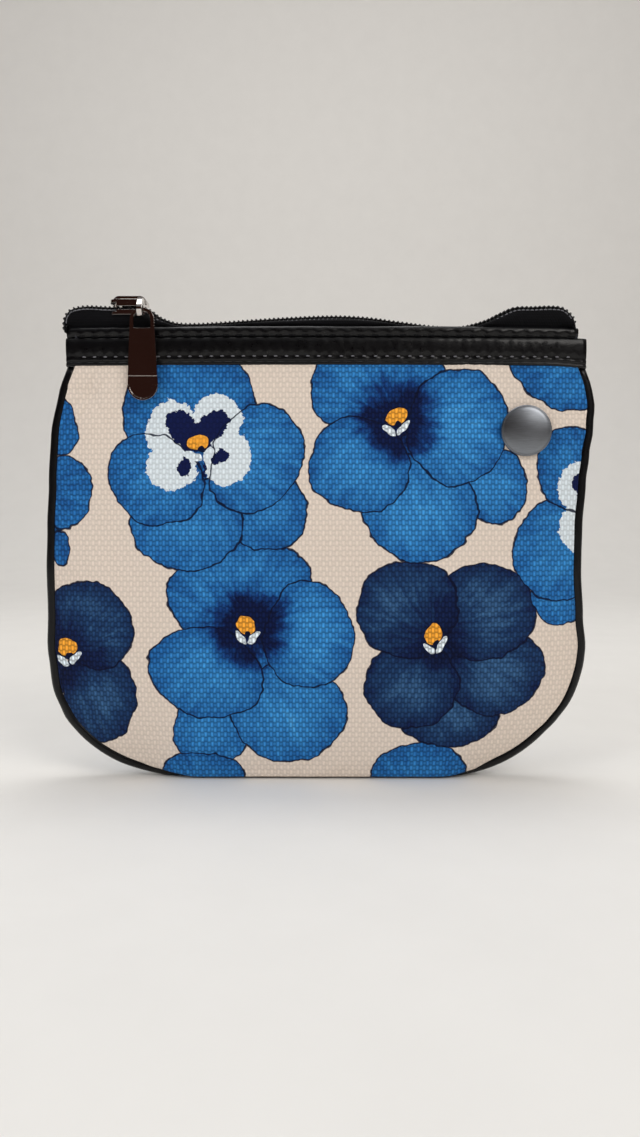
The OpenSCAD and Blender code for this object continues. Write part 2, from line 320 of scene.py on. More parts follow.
def spot(start, place, across, up, halfWidth, halfHeight, turn=0.0):
    # 0 in the middle of an ellipse, 1 on its edge
    settings = {"vector_type": "TEXTURE"}
    inputs = {"Vector": place, "Location": (across, up, 0), "Rotation": (0, 0, math.radians(turn)),
              "Scale": (halfWidth, halfHeight, 1)}
    return start.vector("LENGTH", start.make("ShaderNodeMapping", settings, inputs))


def inside(q, size, soft=0.12):
    # 1 inside an ellipse of that size in millimetres, 0 outside
    return q.maths("MULTIPLY_ADD", 1.0 - q, size / soft, 0.5, clamp=True)


def drawPrint(start, place):
    values = printValues
    centred = (0.5, 0.5, 0.5)
    coarse = start.vector("SUBTRACT", start.blur(place, 0.07, 1.0, 0.5, "Color"), centred)
    fine = start.vector("SUBTRACT", start.blur(place, 0.30, 1.0, 0.45, "Color"), centred)
    coarse = start.vector("MULTIPLY", coarse, (5.0, 5.0, 0.0))
    fine = start.vector("MULTIPLY", fine, (2.0, 2.0, 0.0))
    place = start.vector("ADD", place, start.vector("ADD", coarse, fine))
    mottle = start.blur(place, 0.16, 3.0, 0.6)
    half = (values["repeat"][0] / 2, values["repeat"][1] / 2, 1.0)
    tone = mottle * 0.0
    line, petals, navy = tone, tone, tone
    nearest = place
    middles = []
    for flower in flowers:
        x, z = flower["at"]
        local = start.vector("SUBTRACT", place, (x, z, 0))
        local = start.vector("WRAP", local, half, tuple(-h for h in half))
        middles.append(local)
        middle = start.vector("LENGTH", local)
        kind = flower["kind"]
        dark = {"faced": 0.1, "plain": 0.0, "blue": 0.75, "navy": 0.42, "dark": 0.1}[kind]
        blotch = (middle + (mottle - 0.5) * 8.0).scale(4.0, 21.0, dark, 0.0)
        # the low lift of the 'dark' kind is painted shade beside the gathered spot
        lift = {"faced": 0.16, "plain": 0.18, "blue": 0.24, "navy": 0.40, "dark": 0.04}[kind]
        whole = None
        for k, (across, up, halfWidth, halfHeight, turn) in enumerate(flower["petals"]):
            q = spot(start, local, across, up, halfWidth, halfHeight, turn)
            size = math.sqrt(halfWidth * halfHeight)
            mask = inside(q, size)
            shade = 0.43 + lift + 0.03 * (k % 3) - q * q * lift - blotch
            tone = tone + (shade - tone) * mask
            rim = start.maths("MULTIPLY_ADD", start.maths("ABSOLUTE", q - 1.0), -size / 0.16,
                              values["outline"] / 0.16 + 0.5, clamp=True)
            line = (line * (1.0 - mask)).atLeast(rim)
            whole = mask if whole is None else whole.atLeast(mask)
        petals = petals.atLeast(whole)
        navy = navy.atLeast(whole) if kind == "navy" else navy * (1.0 - whole)
        nearest = start.vector("ADD", nearest, start.vector(
            "SCALE", start.vector("SUBTRACT", local, nearest)).withInput("Scale", whole))
    # fine rays that run out from each flower's middle
    rays = start.vector("MULTIPLY", start.vector("NORMALIZE", nearest), (9.0, 9.0, 0.0))
    outwards = start.vector("MULTIPLY", nearest, (0.06, 0.06, 0.0))
    rays = start.blur(start.vector("ADD", rays, outwards), 1.0, 3.0, 0.65)
    tone = tone + (rays - 0.5) * 0.55 + (mottle - 0.5) * 0.35
    blues = start.make("ShaderNodeValToRGB", {"stops": values["blues"]}, {0: tone})
    navies = start.make("ShaderNodeValToRGB", {"stops": values["navies"]}, {0: tone})
    ink = start.mix(navy, blues, navies)
    colour = start.mix(petals, values["ground"], ink)
    pale = tone * 0.0
    for flower, local in zip(flowers, middles):
        if flower["kind"] == "faced":
            colour, white = drawFace(start, local, colour)
            pale = pale.atLeast(white)
    colour = start.mix(line * 0.94, colour, values["line"])
    for flower, local in zip(flowers, middles):
        if flower["kind"] in ("faced", "blue", "navy"):
            colour = drawMiddle(start, local, colour, flower["kind"])
    return colour, petals.atLeast(line) * (1.0 - pale * 0.8)


def patch(start, place, ellipses, size):
    shape = None
    for ellipse in ellipses:
        one = inside(spot(start, place, *ellipse), size)
        shape = one if shape is None else shape.atLeast(one)
    return shape


def drawFace(start, local, colour):
    # the pale mask of a pansy with its dark heart
    values = printValues
    jag = start.vector("SUBTRACT", start.blur(local, 0.7, 2.0, 0.6, "Color"), (0.5, 0.5, 0.5))
    rough = start.vector("ADD", local, start.vector("MULTIPLY", jag, (3.0, 3.0, 0.0)))
    white = patch(start, rough, [
        (-10.5, 5.5, 8.5, 9.5, 0), (5.5, 7.5, 9.5, 10.5, 0), (-9.5, -9, 9, 8.5, -15),
        (9.8, -5.5, 9, 9.5, 10)], 9)
    heart = patch(start, rough, [
        (-6.3, 5.2, 7.2, 5.2, -38), (4.4, 5.8, 7.0, 5.4, 48), (-0.8, 1.4, 6.4, 4.6, 0),
        (-5.5, -8, 2.8, 3.4, -25), (6.6, -4.8, 3.4, 2.3, 20), (1.6, -10, 0.4, 4.5, 8)], 5)
    colour = start.mix(white, colour, values["white"])
    return start.mix(heart, colour, values["heart"]), white


def drawMiddle(start, local, colour, kind):
    # the yellow eye, with its two pale flecks and a dark dot below it
    values = printValues
    size, low = (4.5, 0.70) if kind == "faced" else (4.0, 0.88)
    flecks = patch(start, local, [(-2.4, -4.4, 3.0, 1.2, -40), (2.6, -3.8, 3.0, 1.3, 50)], 2)
    colour = start.mix(flecks, colour, values["white"])
    eye = spot(start, local, -0.4, 0.4, size, size * low)
    colour = start.mix(inside(eye, size, 0.1), colour, values["line"])
    colour = start.mix(inside(eye * 1.12, size, 0.1), colour, values["orange"])
    dot = inside(spot(start, local, 0.4, -2.6, 1.2, 1.1), 1.2)
    return start.mix(dot, colour, values["line"])


def weaveHeight(start, place):
    # tall lozenges of warp, with short bars of weft between them
    across = start.make("ShaderNodeSeparateXYZ", {}, {0: place}, "X")
    up = Wire(start.tree, across.socket.node.outputs["Y"])
    waveX = start.maths("SINE", across * (math.pi / weave["across"]))
    waveZ = start.maths("SINE", up * (math.pi / weave["up"]))
    wide, tall = start.maths("ABSOLUTE", waveX), start.maths("ABSOLUTE", waveZ)
    over = start.maths("GREATER_THAN", waveX * waveZ, 0.0)
    warp = over * wide ** 0.8 * tall ** 0.38
    weft = (1.0 - over) * wide ** 0.45 * tall ** 2.2 * 0.55
    return warp + weft


def canvasMaterial():
    settings = {"Roughness": 0.85, "Sheen Weight": 0.04, "Sheen Roughness": 0.5, "Specular IOR Level": 0.12}
    material, start, shader = newMaterial("printedCanvas", settings)
    uv = start.make("ShaderNodeUVMap", {"uv_map": "print"})
    place = start.vector("SCALE", uv)
    place.socket.node.inputs["Scale"].default_value = 1000.0
    ink, printed = drawPrint(start, place)
    wander = start.vector("SUBTRACT", start.blur(place, 0.35, 1.0, 0.5, "Color"), (0.5, 0.5, 0.5))
    wander = start.vector("MULTIPLY", wander, (0.45, 0.35, 0.0))
    height = weaveHeight(start, start.vector("ADD", place, wander))
    # darker where the weave is low and lighter where it is high: painted shade between the yarns, stronger
    # on the print than on the ground and the pale masks
    pale = start.maths("MULTIPLY_ADD", height, 0.22, 0.82)
    inkedWeaveShade = start.maths("MULTIPLY_ADD", height, 0.85, 0.50)
    level = pale + (inkedWeaveShade - pale) * printed
    yarn = start.blur(place, 1.6, 2.0, 0.6)
    level = level * start.maths("MULTIPLY_ADD", yarn, 0.24, 0.88)
    # the painted weave shade, with the yarns' random tone, multiplies the print's colour
    paintedWeaveShade = start.make("ShaderNodeCombineXYZ", {}, {0: level, 1: level, 2: level})
    colour = start.mix(1.0, ink, paintedWeaveShade, "MULTIPLY")
    plug(start, shader, colour=colour, normal=bump(start, height, 0.00016, 0.8))
    return material


def leatherMaterial():
    values = {"grain": 1300.0, "creases": 420.0}
    settings = {"Specular IOR Level": 0.20, "Coat Weight": 0.2, "Coat Roughness": 0.1}
    material, start, shader = newMaterial("blackLeather", settings)
    place = start.make("ShaderNodeTexCoord", {}, {}, "Object")
    cells = start.make("ShaderNodeTexVoronoi", {"feature": "DISTANCE_TO_EDGE"},
                       {"Vector": place, "Scale": values["grain"]}, "Distance")
    pores = cells.scale(0.0, 0.25)
    soft = start.blur(place, values["creases"], 3.0, 0.6)
    height = pores * 0.6 + soft * 5.0
    tint = start.mix(soft, rgb(2, 2, 3), rgb(6, 6, 8))
    roughness = start.maths("MULTIPLY_ADD", soft, 0.25, 0.18) + (1.0 - pores) * 0.1
    plug(start, shader, colour=tint, roughness=roughness, normal=bump(start, height, 0.00003, 1.0))
    return material


def clothMaterial(name, dark, pale, pitch, sheen):
    settings = {"Roughness": 0.85, "Sheen Weight": sheen, "Specular IOR Level": 0.1}
    material, start, shader = newMaterial(name, settings)
    place = start.make("ShaderNodeTexCoord", {}, {}, "Object")
    parts = start.make("ShaderNodeSeparateXYZ", {}, {0: place}, "X")
    up = Wire(start.tree, parts.socket.node.outputs["Z"])
    twill = parts.maths("SINE", (parts + up * 0.7) * (2 * math.pi / pitch))
    rows = parts.maths("SINE", up * (2 * math.pi / pitch))
    height = twill * 0.5 + rows * 0.3 + start.blur(place, 900.0, 2.0, 0.6)
    # the colour follows the cloth's height: painted shade in the twill's grooves and between the rows, with
    # random tone from the noise
    colour = start.mix(height.scale(-0.3, 1.3), dark, pale)
    plug(start, shader, colour=colour, normal=bump(start, height, 0.00004, 0.7))
    return material


def plainMaterial(name, dark, pale, size, settings, rough, depth):
    material, start, shader = newMaterial(name, settings)
    place = start.make("ShaderNodeTexCoord", {}, {}, "Object")
    soft = start.blur(place, size, 3.0, 0.6)
    roughness = start.maths("MULTIPLY_ADD", soft, rough[1] - rough[0], rough[0])
    plug(start, shader, colour=start.mix(soft, dark, pale), roughness=roughness,
         normal=bump(start, soft, depth, 0.5))
    return material


def brushedMaterial(middle):
    settings = {"Metallic": 1.0}
    material, start, shader = newMaterial("brushedMetal", settings)
    place = start.make("ShaderNodeTexCoord", {}, {}, "Object")
    stretched = start.make("ShaderNodeMapping", {"vector_type": "POINT"}, {
        "Vector": place, "Location": tuple(-c for c in middle), "Rotation": (0, math.radians(20), 0),
        "Scale": (300.0, 300.0, 9000.0)})
    lines = start.blur(stretched, 1.0, 3.0, 0.6)
    roughness = start.maths("MULTIPLY_ADD", lines, 0.22, 0.24)
    plug(start, shader, colour=start.mix(lines, rgb(104, 108, 114), rgb(150, 154, 160)), roughness=roughness,
         normal=bump(start, lines, 0.000012, 0.6))
    return material


badgeLow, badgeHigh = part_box("badge_cap")
badgeMiddle = (badgeLow + badgeHigh) / 2
canvas = canvasMaterial()
leather = leatherMaterial()
lining = clothMaterial("liningCloth", rgb(26, 26, 30), rgb(52, 52, 58), 0.0007, 0.2)
tapeCloth = clothMaterial("zipperTape", rgb(4, 4, 5), rgb(16, 16, 19), 0.0009, 0.02)
nylon = plainMaterial("zipperCoil", rgb(3, 3, 4), rgb(8, 8, 10), 800.0,
                      {"Specular IOR Level": 0.6}, (0.14, 0.22), 0.00001)
# dark thread whose pale spots stand in for glints on the stitches: painted highlight
threadWithPaintedGlints = plainMaterial("thread", rgb(24, 24, 28), rgb(128, 128, 134), 2500.0,
                            {"Specular IOR Level": 0.5}, (0.3, 0.5), 0.00002)
cottonCord = plainMaterial("cottonCord", rgb(160, 156, 150), rgb(205, 200, 192), 2500.0,
                           {"Sheen Weight": 0.2}, (0.7, 0.9), 0.00004)
chrome = plainMaterial("chrome", rgb(196, 190, 186), rgb(214, 209, 205), 60.0,
                       {"Metallic": 1.0}, (0.05, 0.11), 0.000004)
brushed = brushedMaterial(badgeMiddle)
print("materials are ready")


# the pouch's shape, taken from its piping and its bands
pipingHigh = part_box("piping_cover")[1]
bandLow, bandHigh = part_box("front_band_lower")
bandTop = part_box("front_band_upper")[1].z

pouch = {
    "pipe": 0.002,            # radius of the piping
    "cornerOut": 0.053,       # radius of the outline at the bottom corners
    "foot": 0.0005,           # how much the piping is flattened below
    "leanFrom": 0.118,        # height where the sides lean inwards
    "leanRadius": 0.130,
    "crown": 0.0087,
    "crownReach": 0.045,
    "edgeDepth": 0.0019,
    "canvas": 0.0011,         # canvas thickness
    "bandFace": -bandLow.y,   # distance of the band's face from the middle plane
    "bandBow": 0.0024,
    "bandHalf": bandHigh.x,
}
pathX = pipingHigh.x - pouch["pipe"]
pathZ = pouch["pipe"] - pouch["foot"]
pathR = pouch["cornerOut"] - pouch["pipe"]
cornerX = pathX - pathR
cornerZ = pathZ + pathR
bowRadius = (pouch["bandHalf"] ** 2 + pouch["bandBow"] ** 2) / (2 * pouch["bandBow"])
canvasTop = bandLow.z + 0.0004
canvasIn = 0.0014             # the canvas edge lies this far inside the piping's middle line


def halfWidth(z, inset):
    if z < cornerZ:
        return cornerX + math.sqrt(max(0.0, (pathR - inset) ** 2 - (cornerZ - z) ** 2))
    if z < pouch["leanFrom"]:
        return pathX - inset
    radius = pouch["leanRadius"]
    return pathX - inset - (radius - math.sqrt(radius ** 2 - (z - pouch["leanFrom"]) ** 2))


# height and how far the soft outline leans to the right there, in millimetres
lean = {
    "left": [(0, -2.6), (5, -5.0), (11, -4.8), (20, -4.2), (28, -3.1), (44, -0.9), (60, -0.3),
             (77, -0.4), (93, 0.0), (109, 0.9), (126, 1.8), (142, 3.1), (152, 4.4), (180, 4.4)],
    "right": [(0, -2.1), (7, -1.8), (16, -1.6), (21, -0.9), (28, -0.3), (41, -0.6), (47, -0.8),
              (60, -2.1), (77, -3.0), (93, -2.9), (109, -1.8), (119, -0.8), (129, 1.0), (138, 2.3),
              (143, 2.2), (152, 1.1), (180, 0.8)],
}


def sway(x, z):
    table = lean["left"] if x < 0 else lean["right"]
    up = z / mm
    for (low, a), (high, b) in zip(table, table[1:]):
        if up <= high:
            break
    return (a + (b - a) * smoothStep((up - low) / (high - low))) * mm * min(1.0, abs(x) / 0.09)


def seamDistance(x, z):
    ax = abs(x)
    if z < cornerZ and ax > cornerX:
        return pathR - canvasIn - math.hypot(ax - cornerX, cornerZ - z)
    return min(halfWidth(z, canvasIn) - ax, z - pathZ - canvasIn)


def bow(x):
    x = min(abs(x), pouch["bandHalf"])
    return pouch["bandFace"] - bowRadius + math.sqrt(bowRadius ** 2 - x * x)


def clothDepth(x, z):
    full = math.sin(math.pi / 2 * min(1.0, max(0.0, seamDistance(x, z)) / pouch["crownReach"])) ** 0.8
    level = 1 - 0.45 * smoothStep((z - 0.06) / 0.09)
    pillow = pouch["edgeDepth"] + pouch["crown"] * full * level
    top = spread(0.110, canvasTop, z)
    return pillow * (1 - top) + (bow(x) - 0.0003) * top


# a small gathered spot near the top of the left seam
gather = {"x": -0.0855, "z": 0.1405, "size": 0.0032, "deep": 0.0013, "rays": 8, "ray": 0.00035}


def folds(x, z, seed):
    # soft dents and puckers of the cloth
    near = max(0.0, seamDistance(x, z))
    soft = softNoise(seed, x * 28, z * 34) * 0.0006 + softNoise(seed + 1, x * 70, z * 60) * 0.00022
    pucker = math.exp(-near / 0.007) * softNoise(seed + 2, (x + z) * 160, (x - z) * 160) * 0.0007
    total = (soft + pucker) * min(1.0, near / 0.004) * (1 - spread(0.138, 0.150, z))
    if seed < 3:            # only the front canvas is gathered
        right, up = x - gather["x"], z - gather["z"]
        out, turn = math.hypot(right, up), math.atan2(up, right)
        total -= gather["deep"] * math.exp(-(out / gather["size"]) ** 2)
        total += gather["ray"] * math.sin(gather["rays"] * turn) * math.exp(-((out - 0.005) / 0.0035) ** 2)
    return total


def rowHeight(v, bottom, top):
    corner = 0.42               # share of the rows that go round the corners
    if v < corner:
        return cornerZ - (cornerZ - bottom) * math.cos(math.pi / 2 * v / corner)
    return cornerZ + (top - cornerZ) * (v - corner) / (1 - corner)


# how the canvas hangs over the bottom seam: half width of the stretch, width of its fading ends,
# height of the roll and of the cloth that it pulls, and how far it goes forwards and down
sag = {"half": 0.044, "fade": 0.022, "curl": 0.0016, "reach": 0.030, "forward": 0.0022, "down": 0.0036}


def roll(x, z):
    up = z - pathZ - canvasIn
    middle = 1 - spread(sag["half"], sag["half"] + sag["fade"], abs(x - 0.002))
    return middle * smoothStep(up / sag["curl"]) * (1 - spread(sag["curl"], sag["reach"], up))


def wall(name, side, across, along, behind, thickness, top, material, seed):
    # side is -1 for the front and 1 for the back; behind is how far it lies inside the canvas face
    def place(u, v):
        z = rowHeight(v, pathZ + canvasIn, top)
        low = min(z, canvasTop)
        half = halfWidth(low, canvasIn)
        x = half * math.sin(math.pi / 2 * (2 * u - 1))
        fromSeam = min(1.0, seamDistance(x, low) / 0.004)
        depth = clothDepth(x, low) + folds(x, z, seed) - behind * fromSeam
        over = roll(x, z) if behind == 0 else 0.0
        return Vector((x + sway(x, z), side * (depth + sag["forward"] * over), z - sag["down"] * over))

    bm = grid(across, along, place)
    layer = bm.loops.layers.uv.new("print")
    for face in bm.faces:
        for loop in face.loops:
            co = loop.vert.co
            loop[layer].uv = (co.x, co.z) if side < 0 else (-co.x + 0.131, co.z + 0.063)
    bmesh.ops.recalc_face_normals(bm, faces=bm.faces)
    bm.faces.ensure_lookup_table()
    if bm.faces[0].normal.y * side < 0:
        bmesh.ops.reverse_faces(bm, faces=bm.faces)
    piece = finish(bm, name, material, outward=False)
    return thicken(piece, thickness)


def outline(inset, count):
    # points of the outline from the top left down and round to the top right
    radius, leanFrom = pouch["leanRadius"], pouch["leanFrom"]
    lastTurn = math.asin((canvasTop - 0.0008 - leanFrom) / radius)
    corner = pathR - inset
    right = []
    for k in range(count * 2 + 1):
        right.append(((cornerX * k / (count * 2)), pathZ + inset, 0.0, -1.0))
    for k in range(1, count * 3):
        a = -math.pi / 2 + math.pi / 2 * k / (count * 3)
        c, s = math.cos(a), math.sin(a)
        right.append((cornerX + corner * c, cornerZ + corner * s, c, s))
    for k in range(count * 3 + 1):
        right.append((pathX - inset, cornerZ + (leanFrom - cornerZ) * k / (count * 3), 1.0, 0.0))
    for k in range(1, count + 1):
        a = lastTurn * k / count
        c, s = math.cos(a), math.sin(a)
        right.append((pathX - radius + (radius - inset) * c, leanFrom + (radius - inset) * s, c, s))
    left = [(-x, z, -outX, outZ) for x, z, outX, outZ in reversed(right[1:])]
    return left + right


def alongOutline(name, profile, material, count=12, wobble=0.0):
    # carries a closed profile of (outwards, across) points along the outline
    path = outline(0.0, count)

    def place(u, v):
        x, z, outX, outZ = path[round(u * (len(path) - 1))]
        out, across = profile[round(v * len(profile)) % len(profile)]
        swell = 1 + wobble * softNoise(5, x * 90, z * 90)
        out, across = out * swell, across * swell
        z = max(z + outZ * out, 0.0)
        x = x + outX * out
        return Vector((x + sway(x, z), across, z))

    return finish(grid(len(path) - 1, len(profile), place, wrap=True, caps=True), name, material)


def ring(radius, sides):
    turns = [2 * math.pi * k / sides for k in range(sides)]
    return [(radius * math.cos(a), radius * math.sin(a)) for a in turns]


def onBack(piece):
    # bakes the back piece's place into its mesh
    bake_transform(piece)
    return piece


def settle(piece, side, node):
    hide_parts(node)
    if side < 0:
        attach(piece, "front_wall")
    else:
        onBack(piece)
    return piece


detail = 1.0
sideNames = {-1: "front", 1: "back"}
for side, word in sideNames.items():
    cloth = wall(word + "Canvas", side, int(150 * detail), int(120 * detail), 0.0, pouch["canvas"],
                 canvasTop, canvas, 3 + side)
    settle(cloth, side, word + "_panel")
    inner = wall(word + "Lining", side, 60, 60, 0.0019, 0.0004, 0.163, lining, 8 + side)
    settle(inner, side, word + "_lining")
print("walls are ready")

seam = {"flange": 0.006, "half": 0.0005, "gap": 14, "sides": 20}   # gap is in degrees


def pipingProfile():
    # a round cord cover whose two edges run inwards as the seam's flange
    radius, half, gap = pouch["pipe"], seam["half"], math.radians(seam["gap"])
    neck, inner = -math.sqrt(radius ** 2 - half ** 2), -radius - seam["flange"]
    profile = [(neck, half)]
    for k in range(1, seam["sides"]):
        a = math.pi - gap - (2 * math.pi - 2 * gap) * k / seam["sides"]
        profile.append((radius * math.cos(a), radius * math.sin(a)))
    return profile + [(neck, -half), (inner, -half), (inner, half)]


piping = alongOutline("piping", pipingProfile(), leather, wobble=0.05)
settle(piping, -1, "piping_cover")
cord = alongOutline("pipingCord", ring(0.0011, 10), cottonCord)
settle(cord, -1, "piping_cord")
threadRing = [(out - pouch["pipe"] - 0.0014, across + 0.00065) for out, across in ring(0.00012, 6)]
sewing = alongOutline("seamThread", threadRing, threadWithPaintedGlints)
settle(sewing, -1, "seam_thread")
print("piping is ready")


band = {
    "low": bandLow.z,
    "high": bandTop,
    "thick": 0.0014,
    "hem": 0.0014,            # height of the turned edge below
    "mid": 0.1606,            # height of the groove between the two layers
    "lowerRow": 0.1539,       # heights of the two rows of stitches
    "upperRow": 0.1612,
    "lowerPitch": 0.00404,
    "upperPitch": 0.005,
    "lowerDip": 0.0003,       # how deep the stitches pull the leather in
    "upperDip": 0.0007,
}


def bandProfile(layer):
    # (height, how far the face stands out from the band's nominal face), then the inside
    low, mid, high = band["low"], band["mid"], band["high"]
    if layer == "lower":
        hem = band["hem"]
        row = band["lowerRow"]
        face = [(low, -0.0007), (low + 0.0001, -0.0002), (low + 0.45 * hem, 0.0001),
                (low + 0.9 * hem, -0.0001), (low + 1.05 * hem, -0.00045), (low + 1.25 * hem, -0.00005),
                (row - 0.0006, 0.0001), (row, -0.0001), (row + 0.0006, 0.0001), (0.157, 0.0002),
                (0.159, 0.00015), (mid - 0.0003, -0.00005), (mid + 0.0003, -0.0005)]
    else:
        face = [(mid + 0.0002, -0.0006), (mid + 0.0005, -0.0002), (mid + 0.0012, 0.0001),
                (0.1628, 0.0002), (high - 0.0008, 0.00005), (high - 0.0002, -0.0004),
                (high + 0.0001, -0.0008)]
    back = [(face[-1][0], -band["thick"]), (face[0][0], -band["thick"])]
    return face + back


def bandWave(x, z, side):
    slow = softNoise(11 + side, x * 45, z * 60) * 0.0003 + softNoise(13, x * 160, z * 120) * 0.00012
    return slow + softNoise(14, x * 420, z * 300) * 0.00012


def bandPiece(name, side, layer, left, right):
    profile = bandProfile(layer)
    row, pitch, depth = band[layer + "Row"], band[layer + "Pitch"], band[layer + "Dip"]

    def place(u, v):
        x = -left + (left + right) * u
        z, out = profile[round(v * len(profile)) % len(profile)]
        y = bow(x) + out - 0.0006 * max(spread(right - 0.0015, right, x), spread(left - 0.0015, left, -x))
        if out > -0.0012:
            hole = 0.5 - 0.5 * math.cos(2 * math.pi * x / pitch)
            y += bandWave(x, z, side) - depth * hole * math.exp(-((z - row) / 0.0012) ** 2)
        dip = -0.0008 * spread(0.080, 0.097, x) * (1 if z < 0.158 else 0.3)
        return Vector((x + sway(x, z), side * y, z + dip))

    bm = grid(int(480 * detail), len(profile), place, wrap=True, caps=True)
    return finish(bm, name, leather)


def stitches(name, side, z, pitch, length, radius, material):
    one = bmesh.new()
    bmesh.ops.create_uvsphere(one, u_segments=6, v_segments=6, radius=1.0)
    bmesh.ops.rotate(one, verts=one.verts, cent=(0, 0, 0), matrix=Matrix.Rotation(math.pi / 2, 3, "Y"))
    bmesh.ops.scale(one, verts=one.verts, vec=(length / 2, radius, radius))
    shape = bpy.data.meshes.new("stitch")
    one.to_mesh(shape)
    one.free()
    row = bmesh.new()
    count = int((pouch["bandHalf"] - 0.003) / pitch)
    for k in range(-count, count + 1):
        x = k * pitch
        before = len(row.verts)
        row.from_mesh(shape)
        row.verts.ensure_lookup_table()
        turn = math.asin(x / bowRadius) * -side + 0.05
        out = bow(x) + bandWave(x, z, side) + 0.00012
        move = Matrix.Translation((x + sway(x, z), side * out, z)) @ Matrix.Rotation(turn, 4, "Z")
        for vert in row.verts[before:]:
            vert.co = move @ vert.co
    bpy.data.meshes.remove(shape)
    return finish(row, name, material)


for side, word in sideNames.items():
    half = pouch["bandHalf"]
    lower = bandPiece(word + "BandLower", side, "lower", half + 0.0008, half + 0.0008)
    settle(lower, side, word + "_band_lower")
    upper = bandPiece(word + "BandUpper", side, "upper", half + 0.0004, half - 0.0022)
    settle(upper, side, word + "_band_upper")
    lowerRow = stitches(word + "LowerStitches", side, band["lowerRow"], band["lowerPitch"],
                        0.0014, 0.0003, threadWithPaintedGlints)
    settle(lowerRow, side, word + "_band_lower_stitches")
    upperRow = stitches(word + "UpperStitches", side, band["upperRow"], band["upperPitch"],
                        0.003, 0.00028, tapeCloth)
    settle(upperRow, side, word + "_band_upper_stitches")
print("bands are ready")


coilLow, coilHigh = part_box("front_coil")
chainZ = (coilLow.z + coilHigh.z) / 2

chain = {
    "pitch": 0.0016,
    "wire": 0.00038,          # radius of the coil's wire
    "inner": 0.0005,          # how far a coil reaches over the middle
    "outer": 0.0029,
    "halfHeight": 0.0008,
    # places across and heights above the slider's line that the soft chain runs through
    "line": [(-91.6, -7.4), (-91.4, -3.8), (-89.6, -1.0), (-86.0, 0.1), (-82.0, 0.3), (-76.0, 0.0),
             (-68.5, 0.0), (-62.4, -0.4), (-57.5, -3.6), (-52.0, -5.6), (-45.0, -6.0), (-35.0, -5.5),
             (-15.0, -4.1), (4.0, -3.3), (17.0, -3.8), (30.0, -5.5), (43.0, -7.1), (51.0, -7.2),
             (60.0, -5.0), (66.0, -2.2), (71.0, -0.2), (77.5, 0.0), (84.0, 0.2), (88.0, -0.3),
             (91.0, -2.6), (92.2, -5.0), (92.6, -7.4)],
}
chainPath = smoothPath([(x * mm, chainZ + up * mm) for x, up in chain["line"]], 600)


def chainAt(t):
    k = min(max(t, 0.0), 1.0) * (len(chainPath) - 1)
    i = min(int(k), len(chainPath) - 2)
    (x0, z0), (x1, z1) = chainPath[i], chainPath[i + 1]
    f = k - i
    return x0 + (x1 - x0) * f, z0 + (z1 - z0) * f, Vector((x1 - x0, 0, z1 - z0)).normalized()


def coil(name, side, shift):
    length = sum(math.dist(a, b) for a, b in zip(chainPath, chainPath[1:]))
    turns = int(length / chain["pitch"])
    middle = -(chain["outer"] - chain["inner"]) / 2
    reach = (chain["outer"] + chain["inner"]) / 2 - chain["wire"]
    steps, sides = 9, 5

    def centre(t):
        a = 2 * math.pi * t
        x, z, along = chainAt((t + shift) / turns)
        up = Vector((-along.z, 0, along.x))
        across = math.copysign(abs(math.cos(a)) ** 0.6, math.cos(a))
        lift = math.copysign(abs(math.sin(a)) ** 0.7, math.sin(a))
        return Vector((x, side * -(middle + reach * across), z)) + up * (chain["halfHeight"] * lift)

    def place(u, v):
        t = u * (turns - 1)
        here = centre(t)
        ahead = (centre(t + 0.02) - centre(t - 0.02)).normalized()
        flat = ahead.cross(Vector((1, 0, 0)))
        flat = flat.normalized() if flat.length > 1e-6 else Vector((0, 0, 1))
        other = ahead.cross(flat)
        a = 2 * math.pi * (v % 1.0)
        return here + (flat * math.cos(a) + other * math.sin(a)) * chain["wire"]

    return finish(grid((turns - 1) * steps, sides, place, wrap=True, caps=True), name, nylon)


tapeValues = {
    "thick": 0.00045,
    "behind": 0.0019,         # how far inside the band's face it starts
    "foot": 0.157,            # height where it starts
    "shoulder": 0.1652,       # height where it leaves the band
    "top": 0.0031,            # its distance from the middle plane at the chain's outer side
    "edge": 0.0019,           # and where it ends, below the chain
    "bulge": 0.0011,
}


def tape(name, side):
    # woven tape from behind the band up and over to the chain
    values = tapeValues

    def place(u, v):
        x, z, _ = chainAt(u)
        behindBand = bow(x) - values["behind"]
        low = Vector((max(-0.0900, min(0.0925, x)), side * behindBand, values["foot"]))
        shoulder = Vector((x * 0.995, side * max(behindBand, 0.0012), min(values["shoulder"], z - 0.0014)))
        top = Vector((x, side * values["top"], z - 0.0006))
        edge = Vector((x, side * values["edge"], z - 0.00115))
        bulge = side * values["bulge"] * math.sin(math.pi * v)
        if v < 0.4:
            spotHere = low.lerp(shoulder, v / 0.4)
        elif v < 0.85:
            t = (v - 0.4) / 0.45
            swell = math.sin(math.pi * t)
            spotHere = shoulder.lerp(top, t)
            spotHere.y += bulge * swell + side * softNoise(21 + side, x * 60, t * 2) * 0.0005 * swell
        else:
            spotHere = top.lerp(edge, (v - 0.85) / 0.15)
        return spotHere

    piece = finish(grid(int(220 * detail), 20, place), name, tapeCloth, outward=False)
    thicken(piece, values["thick"], 0.0)
    return piece


def runAlongChain(name, side, across, up, radius, sides, material, wave=0.0):
    def place(u, v):
        x, z, along = chainAt(0.01 + 0.98 * u)
        a = 2 * math.pi * (v % 1.0)
        lift = Vector((-along.z, 0, along.x))
        ripple = wave * math.cos(2 * math.pi * x / chain["pitch"])
        out = across + ripple + radius * math.cos(a)
        return Vector((x, side * out, z)) + lift * (up + radius * math.sin(a))
    count = 1200 if wave else 300
    return finish(grid(count, sides, place, wrap=True, caps=True), name, material)


